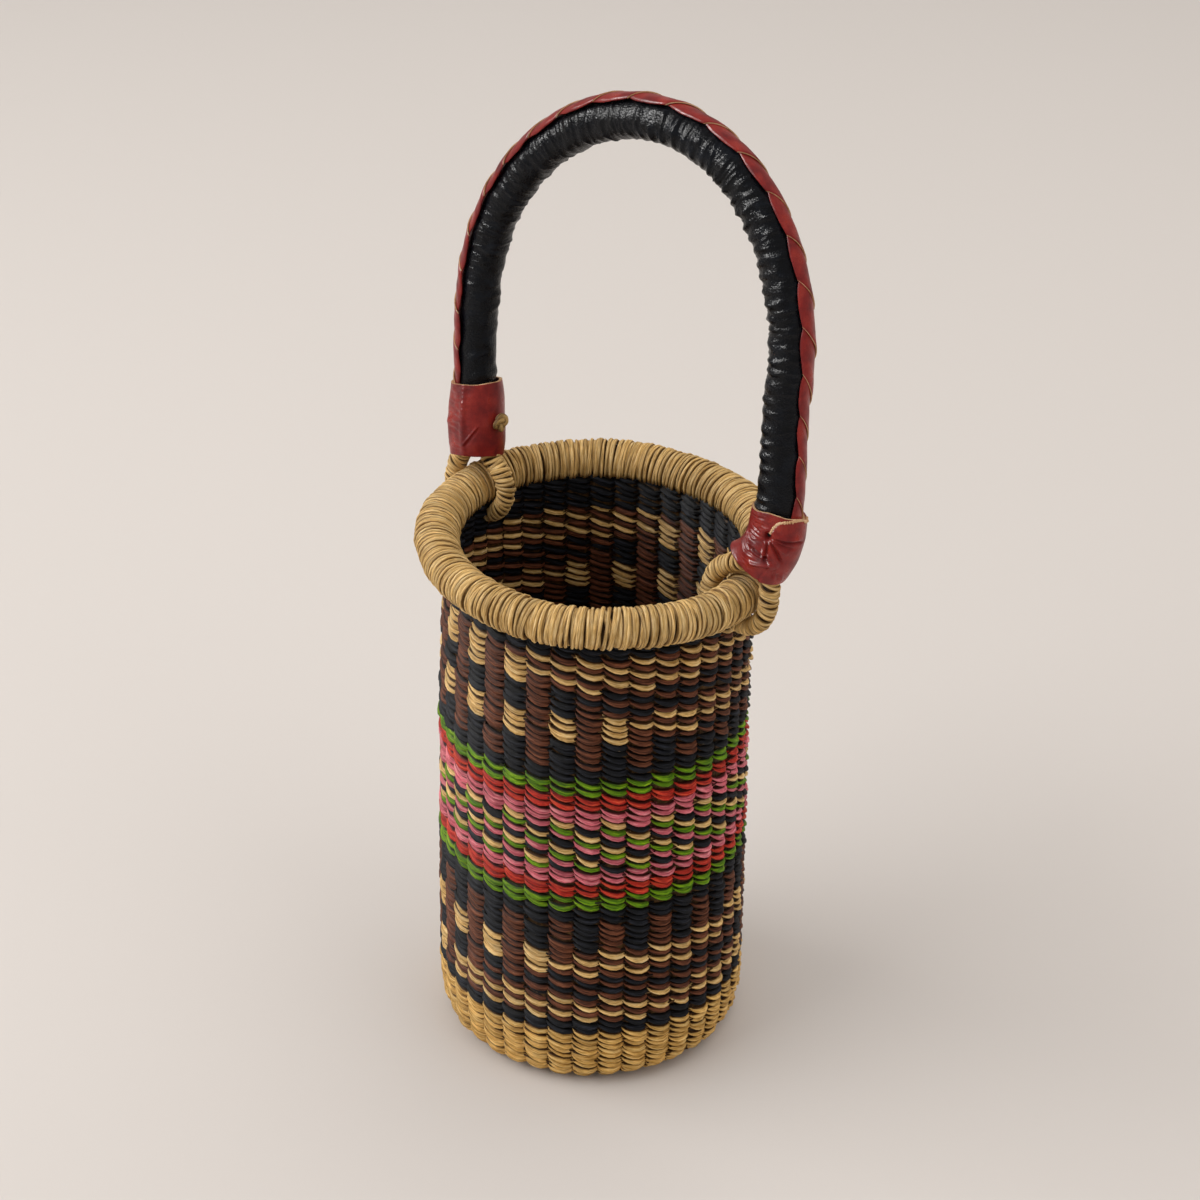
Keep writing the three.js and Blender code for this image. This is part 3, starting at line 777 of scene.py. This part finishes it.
def make_strip():
    """The lace that closes the sleeve: each turn lies over the start of the next."""
    line, run, _, out = handle_line(SLEEVE_BOTTOM, 0.5 * MM)
    shells = Shells()
    for lap in range(STRIP_LAPS):
        begin = STRIP_START + lap * STRIP_PITCH + RNG.normal(0, 0.4 * MM)
        p, q = np.meshgrid(np.linspace(0, 1, 14), np.linspace(0, 1, 11), indexing="ij")
        near = 0.75 + 0.27 * np.sin(np.clip((p - 0.2) / 0.93, 0, 1) * math.pi) ** 0.8 + RNG.normal(0, 0.02)
        far = 0.75 + 0.25 * np.sin(p * 2.6)
        side = (near + far) * q - far
        first = -0.24 - 0.36 * side
        slant = np.interp(begin / MM, (225, 255), (0.36, 0.54)) + RNG.normal(0, 0.03)
        last = 0.68 + slant * (1 - side)
        distance = np.clip(begin + STRIP_PITCH * (first + (last - first) * p), 0, run[-1])
        turn = np.radians(strip_edge(distance / run[-1]) + (side - 1) * STRIP_HALF_ANGLE)
        middle = along_line(distance, run, line)
        spoke = way_round(turn, unit(along_line(distance, run, out)), HANDLE_NORMAL)
        buckle = 0.14 * np.sin(9 * p + lap) * (1 - np.abs(side)) + 0.1 * np.sin(17 * p + 3 * lap) * q
        over_wrinkles = np.interp(distance / run[-1], (0.03, 0.12, 0.45, 0.56), (0, 0.7, 0.8, 0))
        bent_down = 0.34 * np.clip(q * 5 - 4, 0, 1) ** 2
        lift = STRIP_INSIDE + 0.6 * p ** 2 + buckle + over_wrinkles - bent_down
        outer = middle + spoke * ((lift + STRIP_THICKNESS) * MM)[..., None]
        inner = middle + spoke * (lift * MM)[..., None]
        shells.add(outer, inner, side_slot=0)
    shells.build("lacing_laps", ["lacing_strip"], [RED_LEATHER, RAW_EDGE])


CUFF_ROWS = 96
CUFF_COLUMNS = 168
LEFT_CUFF = (27.4 * MM, 54.3 * MM)
RIGHT_CUFF = (28.9 * MM, 51.1 * MM)
# Radius at which a cuff is laid flat, and its thickness, in millimetres
CUFF_RING = 10.4
CUFF_THICKNESS = 1.1


def on_cuff(degrees, height):
    """A place on a cuff's skin laid flat, in millimetres."""
    return math.radians(degrees) * CUFF_RING, height


def crease(across, up, first, last, width, depth):
    """Height of a fold between two places, each in degrees round and millimetres up."""
    (u0, v0), (u1, v1) = on_cuff(*first), on_cuff(*last)
    run_u, run_v = u1 - u0, v1 - v0
    share = np.clip(((across - u0) * run_u + (up - v0) * run_v) / (run_u ** 2 + run_v ** 2), 0, 1)
    distance = np.hypot(across - u0 - share * run_u, up - v0 - share * run_v)
    fade = np.clip(np.minimum(share, 1 - share) * 5 + 0.25, 0, 1)
    return depth * fade * bell(distance, 0, width)


def cuff_skins(side, leg, ends, radius, flat, tilt, lift, relief):
    """Outer and inner skins of a cuff; shares run from its lower edge up and relief is in millimetres."""
    share = np.linspace(0, 1, CUFF_ROWS)[:, None] + np.zeros((1, CUFF_COLUMNS))
    if side > 0:
        share = share[::-1]
    turn = even_turns(CUFF_COLUMNS)[None] + np.zeros((CUFF_ROWS, 1))
    height = ends[0] + share * (ends[1] - ends[0])
    middle = in_handle(side * leg_reach(leg, height), height)
    lean = (np.arctan(leg_slope(leg, height)) + tilt(share))[..., None]
    out = side * SIDEWAYS * np.cos(lean) - HANDLE_UP * np.sin(lean)
    spoke = way_round(turn, out, HANDLE_NORMAL * flat(share)[..., None])
    middle = middle + HANDLE_UP * (lift(share, turn) * MM)[..., None]
    up = share * (ends[1] - ends[0]) / MM
    height_over = relief(share, turn, up)
    outer = middle + spoke * ((radius(share) + height_over) * MM)[..., None]
    inner = middle + spoke * ((radius(share) + np.minimum(height_over, 0) - CUFF_THICKNESS) * MM)[..., None]
    return outer, inner


def make_left_cuff():
    """The left cuff is pulled smooth, with a fold down its front and a cut across it."""
    def relief(share, turn, up):
        across, degrees = turn * CUFF_RING, np.degrees(turn)
        facet = 0.9 * bell(degrees, 101, 7) * (0.4 + 0.6 * np.sin(math.pi * share))
        flat_part = -0.8 * bell(degrees, 72, 21) * np.sin(math.pi * share) ** 0.5
        cut = crease(across, up, (102, 4.2), (133, 11.7), 0.32, 0.5)
        beside_cut = crease(across, up, (104, 3.4), (134, 10.8), 0.5, -0.35)
        bulge = crease(across, up, (40, 12.5), (100, 13.5), 1.1, 0.55)
        folds = noise_at(across / 4.5, up / 1.3, 3.0) * bell(degrees, 80, 30)
        broad = noise_at(np.cos(turn) * 1.6, np.sin(turn) * 1.6, up / 9)
        knot_dent = crease(across, up, (180, 13.3), (181, 13.3), 3.2, -0.4)
        return facet + flat_part + cut + beside_cut + bulge + 0.42 * folds + 0.3 * broad + knot_dent
    skins = cuff_skins(
        -1, LEFT_LEG, LEFT_CUFF,
        lambda s: np.interp(s, [0, 0.15, 0.42, 0.75, 1], [10.2, 10.6, 11.0, 10.4, 9.5]),
        np.ones_like,
        np.zeros_like,
        lambda s, turn: (
            0.11 * s - 0.93 * (1 - s) + (0.39 * s + 1.23 * (1 - s)) * np.cos(turn - math.radians(129))
            + (0.69 * s - 0.35 * (1 - s)) * np.sin(turn - math.radians(129)) + 0.12 * np.sin(5 * turn)
            + 2.0 * (1 - s) * bell(np.degrees(turn), 275, 50)),
        relief)
    make_tube("cuff_left_hide", ["cuff_left"], skins, [RED_LEATHER, RAW_EDGE])


# The creases and the flap's edge are placed on a cuff this many millimetres high
CREASED_HEIGHT = 31
RIGHT_CREASE_SCALE = CREASED_HEIGHT * MM / (RIGHT_CUFF[1] - RIGHT_CUFF[0])
HOLE = (70, 20.5)
RIGHT_CREASES = [
    # Both ends in degrees round and millimetres up, width and height in millimetres
    ((62, 20.6), (-8, 21.0), 0.55, -0.75),
    ((62, 21.6), (0, 22.6), 0.9, 0.35),
    ((60, 19.6), (12, 18.0), 0.5, -0.6),
    ((64, 19.4), (30, 11.5), 0.55, -1.0),
    ((60, 17.6), (36, 9.4), 0.6, 0.6),
    ((62, 19.2), (22, 15.6), 0.8, 0.4),
    ((72, 18.0), (69, 9.0), 0.4, 0.6),
    ((66, 17.5), (62, 9.5), 0.45, -0.7),
    ((48, 8.8), (92, 4.5), 0.8, 0.95),
    ((50, 10.2), (100, 12.0), 0.7, -0.8),
    ((52, 11.6), (110, 14.8), 0.8, 0.6),
    ((50, 9.4), (112, 8.6), 0.6, -0.6),
    ((96, 13.0), (132, 17.5), 0.8, 0.6),
    ((98, 10.2), (140, 13.0), 0.7, -0.5),
    ((104, 7.0), (140, 10.5), 0.7, 0.5),
    ((90, 21.0), (112, 23.0), 0.45, -0.3),
    ((92, 19.2), (115, 20.6), 0.45, -0.3),
    ((94, 17.4), (116, 18.4), 0.45, -0.3),
    ((35, 3.4), (38, 8.0), 0.5, -0.6),
    ((20, 2.6), (30, 6.0), 0.5, -0.4),
    ((8, 2.0), (22, 6.5), 0.5, 0.3),
]
# Where the right cuff's overlapping end stops, in millimetres up and degrees round
FLAP_HEIGHTS = (0, 8, 11, 16, 19.0, 22.4, 25.4, 27.2, 28.2, 29.0, 29.8, 30.6, 31.0)
FLAP_DEGREES = (58, 52, 59, 66, 66, 66, 61, 56, 51, 44, 32, 15, -90)


def make_right_cuff():
    """The right cuff is wrapped over itself, laced through one hole and drawn down over the loop."""
    def relief(share, turn, up):
        degrees = (np.degrees(turn) + 180) % 360 - 180
        across = np.radians(degrees) * CUFF_RING
        up = up * RIGHT_CREASE_SCALE
        inside_flap = (np.interp(up, FLAP_HEIGHTS, FLAP_DEGREES) - degrees) / 1.6
        ending = (degrees + 120) / 14
        flap = 0.85 * np.clip(inside_flap, 0, 1) * np.clip(ending, 0, 1)
        hole_u, hole_v = on_cuff(*HOLE)
        apart = np.hypot(across - hole_u, (up - hole_v) * 0.85)
        hole = -2.6 * bell(apart, 0, 1.15) + 0.45 * bell(apart, 2.6, 1.0)
        dimple = -0.9 * bell(apart, 0, 5.0)
        folds = sum(
            crease(across, up, first, last, width, 1.35 * depth)
            for first, last, width, depth in RIGHT_CREASES)
        fine = 0.3 * noise_at(across / 2.2, up / 1.1, 8.0) * bell(degrees, 102, 24)
        broad = 0.3 * noise_at(np.cos(turn) * 1.5 + 7, np.sin(turn) * 1.5, up / 8)
        corner = (3.0 * (1 - share) ** 5 - 0.8 * np.sin(math.pi * share)) * bell(degrees, 150, 38)
        return flap + hole + dimple + folds + fine + broad + corner
    outer, inner = cuff_skins(
        1, RIGHT_LEG, RIGHT_CUFF,
        lambda s: np.interp(s, [0, 0.3, 0.7, 1], [10.5, 10.5, 10.2, 9.5]),
        lambda s: np.interp(s, [0, 0.5, 1], [0.88, 0.98, 1]),
        lambda s: math.radians(10) * (1 - s) ** 1.6,
        lambda s, turn: s * (
            -2.6 * np.clip(-np.cos(turn - math.radians(140.6)), 0, 1) + 0.3 * np.sin(5 * turn + 1))
        - (1 - s) ** 2 * (1.9 * np.cos(turn - math.radians(140.6)) - 0.3),
        relief)
    free_edge = resampled(np.stack([FLAP_HEIGHTS[5:], FLAP_DEGREES[5:]], axis=-1), 0.25)[0]
    height, degrees = free_edge[free_edge[:, 1] > -40].T
    edge = on_skin(outer, 1 - height / CREASED_HEIGHT, degrees)
    ahead = unit(np.gradient(edge, axis=0))
    away = unit(edge - in_handle(leg_reach(RIGHT_LEG, RIGHT_CUFF[1]), RIGHT_CUFF[1]))
    beside = unit(np.cross(away, ahead))
    turn = even_turns(8)[None]
    wide = (0.62 + 0.28 * noise_at(height[:, None] * 3, np.cos(turn), degrees[:, None] / 3)) * MM
    ring = way_round(turn, beside[:, None], away[:, None])
    tube = edge[:, None] + ring * wide[..., None]
    make_tube("cuff_right_raw_end", [], (tube, tube - ring * 0.2 * MM), [RAW_EDGE, RAW_EDGE])
    make_tube("cuff_right_hide", ["cuff_right"], (outer, inner), [RED_LEATHER, RAW_EDGE])


def on_skin(skin, shares, degrees):
    """Points of a cuff's skin by the share of its rows and the degrees round it."""
    rows, columns = skin.shape[:2]
    row = np.clip(shares, 0, 0.999) * (rows - 1)
    column = degrees / 360 * columns
    r, c = np.floor(row).astype(int), np.floor(column).astype(int)
    u, v = (row - r)[:, None], (column - c)[:, None]
    here, beside = [skin[r, k % columns] * (1 - u) + skin[r + 1, k % columns] * u for k in (c, c + 1)]
    return here * (1 - v) + beside * v


def smooth_line(points, steps=10):
    """A Catmull-Rom curve through the points; every column is carried along."""
    points = np.asarray(points, float)
    padded = np.concatenate([[2 * points[0] - points[1]], points, [2 * points[-1] - points[-2]]])
    t = np.linspace(0, 1, steps, endpoint=False)[:, None]
    parts = []
    for before, start, end, after in zip(padded, padded[1:], padded[2:], padded[3:]):
        parts.append(0.5 * (
            2 * start + (end - before) * t + (2 * before - 5 * start + 4 * end - after) * t ** 2
            + (3 * start - before - 3 * end + after) * t ** 3))
    return np.concatenate(parts + [points[-1:]])


LOOP_PITCH = 1.65 * MM
# Each loop's middle line from the inner arm in its cuff, through the wall under the rim and back up
# outside: distance from the middle, height over the hinge and radius, in millimetres
LEFT_LOOP = [
    (60.0, 39.5, 3.8), (59.6, 34.0, 3.75), (58.0, 29.4, 3.7), (55.2, 26.1, 3.7), (50.4, 22.7, 3.75),
    (47.2, 17.2, 3.7), (47.5, 11.6, 3.6), (50.4, 7.2, 3.3), (53.2, 4.8, 2.6), (56.6, 3.4, 2.3),
    (60.6, 3.1, 2.35), (65.3, 3.4, 3.0), (70.2, 6.4, 3.6), (72.9, 12.3, 3.75), (72.6, 18.6, 3.8),
    (70.4, 25.0, 3.85), (68.6, 31.5, 3.9), (68.4, 39.5, 3.9)]
RIGHT_LOOP = [
    (67.9, 39.5, 3.9), (67.6, 36.0, 3.9), (65.8, 30.8, 3.9), (61.6, 26.6, 3.85), (56.4, 23.4, 3.8),
    (52.3, 18.9, 3.75), (51.0, 13.4, 3.7), (52.1, 8.5, 3.4), (55.0, 5.0, 2.7), (58.6, 3.3, 2.3),
    (62.6, 3.0, 2.35), (67.2, 3.1, 3.0), (71.6, 5.0, 3.6), (75.2, 9.2, 3.75), (76.3, 14.2, 3.75),
    (76.0, 20.0, 3.8), (75.6, 26.0, 3.9), (76.0, 32.0, 3.9), (77.0, 39.5, 3.9)]


def make_loop(name, side, points):
    """Cord wound with straw that passes under the rim and up both sides of it into the cuff."""
    reach, height, radius = resampled(smooth_line(points) * MM, LOOP_PITCH)[0].T
    line = in_handle(side * reach, height)
    count = len(line)
    along = unit(np.gradient(line, axis=0))
    outward = unit(np.cross(HANDLE_NORMAL, along))
    strands = Strands()
    # The cord under the winding is dark straw, painted shadow between the turns
    cord = (radius - 1.2 * MM)[None]
    strands.add(line[None], HANDLE_NORMAL[None, None], outward[None], cord, cord, ["shadow"], 12)
    turn = even_turns(18)[None]
    tip = varied(count, 0.13) * np.sin(turn) + (0.26 + varied(count, 0.1)) * np.cos(turn)
    proud = 0.18 * varied(count, 1) * MM
    reach = radius[:, None] - 0.75 * MM + proud
    spoke = way_round(turn, outward[:, None], HANDLE_NORMAL)
    centre = line[:, None] + spoke * reach[..., None] + along[:, None] * (tip * reach)[..., None]
    ahead = unit(np.roll(centre, -1, axis=1) - np.roll(centre, 1, axis=1))
    across = unit(np.cross(spoke, ahead))
    swell = 1 + 0.12 * np.sin(turn * 2 + RNG.random((count, 1)) * 6)
    half_width = (0.88 + varied(count, 0.08)) * MM * swell
    half_depth = np.full(half_width.shape, 0.75 * MM)
    strands.add(centre, across, spoke, half_width, half_depth, ["rim"] * count, closed=True)
    strands.build(f"loop_{name}_winding", "handle", [f"loop_{name}"])


def make_knot():
    """One straw tied through the left cuff's inner side."""
    low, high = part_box("cuff_knot")
    middle = (np.array(low) + np.array(high)) / 2 + SIDEWAYS * 0.4 * MM + HANDLE_NORMAL * 1.0 * MM
    turn = even_turns(64)
    wide = 1.7 + 0.9 * np.cos(3 * turn)
    face_y, face_z, off = wide * np.cos(2 * turn), wide * np.sin(2 * turn), 0.85 * np.sin(3 * turn)
    centre = middle + MM * (
        np.outer(face_y, HANDLE_NORMAL) + np.outer(face_z, HANDLE_UP) + np.outer(off, SIDEWAYS))
    ahead = unit(np.roll(centre, -1, axis=0) - np.roll(centre, 1, axis=0))
    out = unit(np.cross(ahead, np.cross(SIDEWAYS, ahead)))
    across = unit(np.cross(out, ahead))
    strands = Strands()
    half = np.full((1, 64), 1.15 * MM)
    strands.add(centre[None], across[None], out[None], half, half * 0.85, ["knot"], closed=True)
    for degrees, length in ((205, 3.3), (20, 2.9), (265, 3.0)):
        turn_out = math.radians(degrees)
        way = HANDLE_NORMAL * math.cos(turn_out) + HANDLE_UP * math.sin(turn_out)
        reach = np.linspace(0.6, length, 5) * MM
        end = middle + np.outer(reach, way) + np.outer(0.5 * MM * np.sin(reach / MM), SIDEWAYS)
        beside = np.cross(SIDEWAYS, way)
        size = np.linspace(0.8, 0.3, 5)[None] * MM
        strands.add(end[None], beside[None, None], SIDEWAYS[None, None], size, size * 0.6, ["knot"])
    strands.build("cuff_knot_straw", "handle", ["cuff_knot"])


FLOOR_REACH = 20.0


def make_stage():
    material, _, shader = new_material("floor_paper")
    shader.inputs["Base Color"].default_value = srgb("DDD7D2")
    shader.inputs["Roughness"].default_value = 0.9
    sheet = Gathered()
    sheet.points.append(FLOOR_REACH * np.array([(-1, -1, 0), (1, -1, 0), (1, 1, 0), (-1, 1, 0)]))
    sheet.faces.append(np.arange(4)[None])
    floor = new_object("floor", sheet, np.zeros(1), np.zeros(1, bool), [material])
    bpy.context.scene.collection.objects.link(floor)


def camera_turn():
    """The camera's right, up and back directions before its roll, as columns."""
    tilt = Matrix.Rotation(math.pi / 2 - CAMERA_ELEVATION, 3, "X")
    return Matrix.Rotation(CAMERA_AZIMUTH, 3, "Z") @ tilt


def make_camera():
    right, _, back = camera_turn().col
    target = right * CAMERA_TARGET_SIDE + Vector((0, 0, CAMERA_TARGET_HEIGHT))
    data = bpy.data.cameras.new("camera")
    data.lens = CAMERA_LENS_MM
    data.sensor_width = CAMERA_SENSOR_MM
    data.sensor_fit = "HORIZONTAL"
    camera = bpy.data.objects.new("camera", data)
    camera.rotation_euler = (camera_turn() @ Matrix.Rotation(CAMERA_ROLL, 3, "Z")).to_euler()
    camera.location = target + back * CAMERA_DISTANCE
    bpy.context.scene.collection.objects.link(camera)
    bpy.context.scene.camera = camera


# Each lamp's way from its aim along the camera's right and back and straight up, its sides, power and
# colour. The glint shows only in shine, the key in shine and plain light, the others in plain light.
LAMP_AIM = Vector((0, 0, 0.15))
LAMPS = {
    "key": ((-1.75, 0.3, 1.3), (2.6, 1.3), 35, (1.0, 0.985, 0.97)),
    "overhead": ((0.5, -0.7, 2.1), (2.4, 2.4), 16, (1.0, 0.98, 0.96)),
    "fill": ((1.5, 1.1, 0.7), (1.6, 1.6), 7, (1.0, 0.985, 0.975)),
    "glint": ((-1.8, 0.35, 1.25), (0.7, 0.7), 75, (1.0, 0.985, 0.97)),
}


def make_lights():
    right, _, back = camera_turn().col
    for name, ((aside, nearer, higher), sides, power, colour) in LAMPS.items():
        data = bpy.data.lights.new(name, "AREA")
        data.shape = "RECTANGLE"
        data.size, data.size_y = sides
        data.energy = power
        data.color = colour
        lamp = bpy.data.objects.new(name, data)
        lamp.location = LAMP_AIM + right * aside + back * nearer + Vector((0, 0, higher))
        lamp.rotation_euler = (LAMP_AIM - lamp.location).to_track_quat("-Z", "Y").to_euler()
        lamp.visible_glossy = name in ("key", "glint")
        lamp.visible_diffuse = name != "glint"
        bpy.context.scene.collection.objects.link(lamp)
    world = bpy.data.worlds.new("studio")
    world.use_nodes = True
    background = world.node_tree.nodes["Background"].inputs
    background["Color"].default_value = srgb("F6F0EA")
    background["Strength"].default_value = 0.42
    bpy.context.scene.world = world
    bpy.context.scene.view_settings.view_transform = "Standard"


make_camera()
make_stage()
make_lights()
make_base()
make_bands()
make_stakes()
make_rim_core()
make_rim()
make_handle_core()
make_sleeve()
make_strip()
make_left_cuff()
make_right_cuff()
make_loop("left", -1, LEFT_LOOP)
make_loop("right", 1, RIGHT_LOOP)
make_knot()
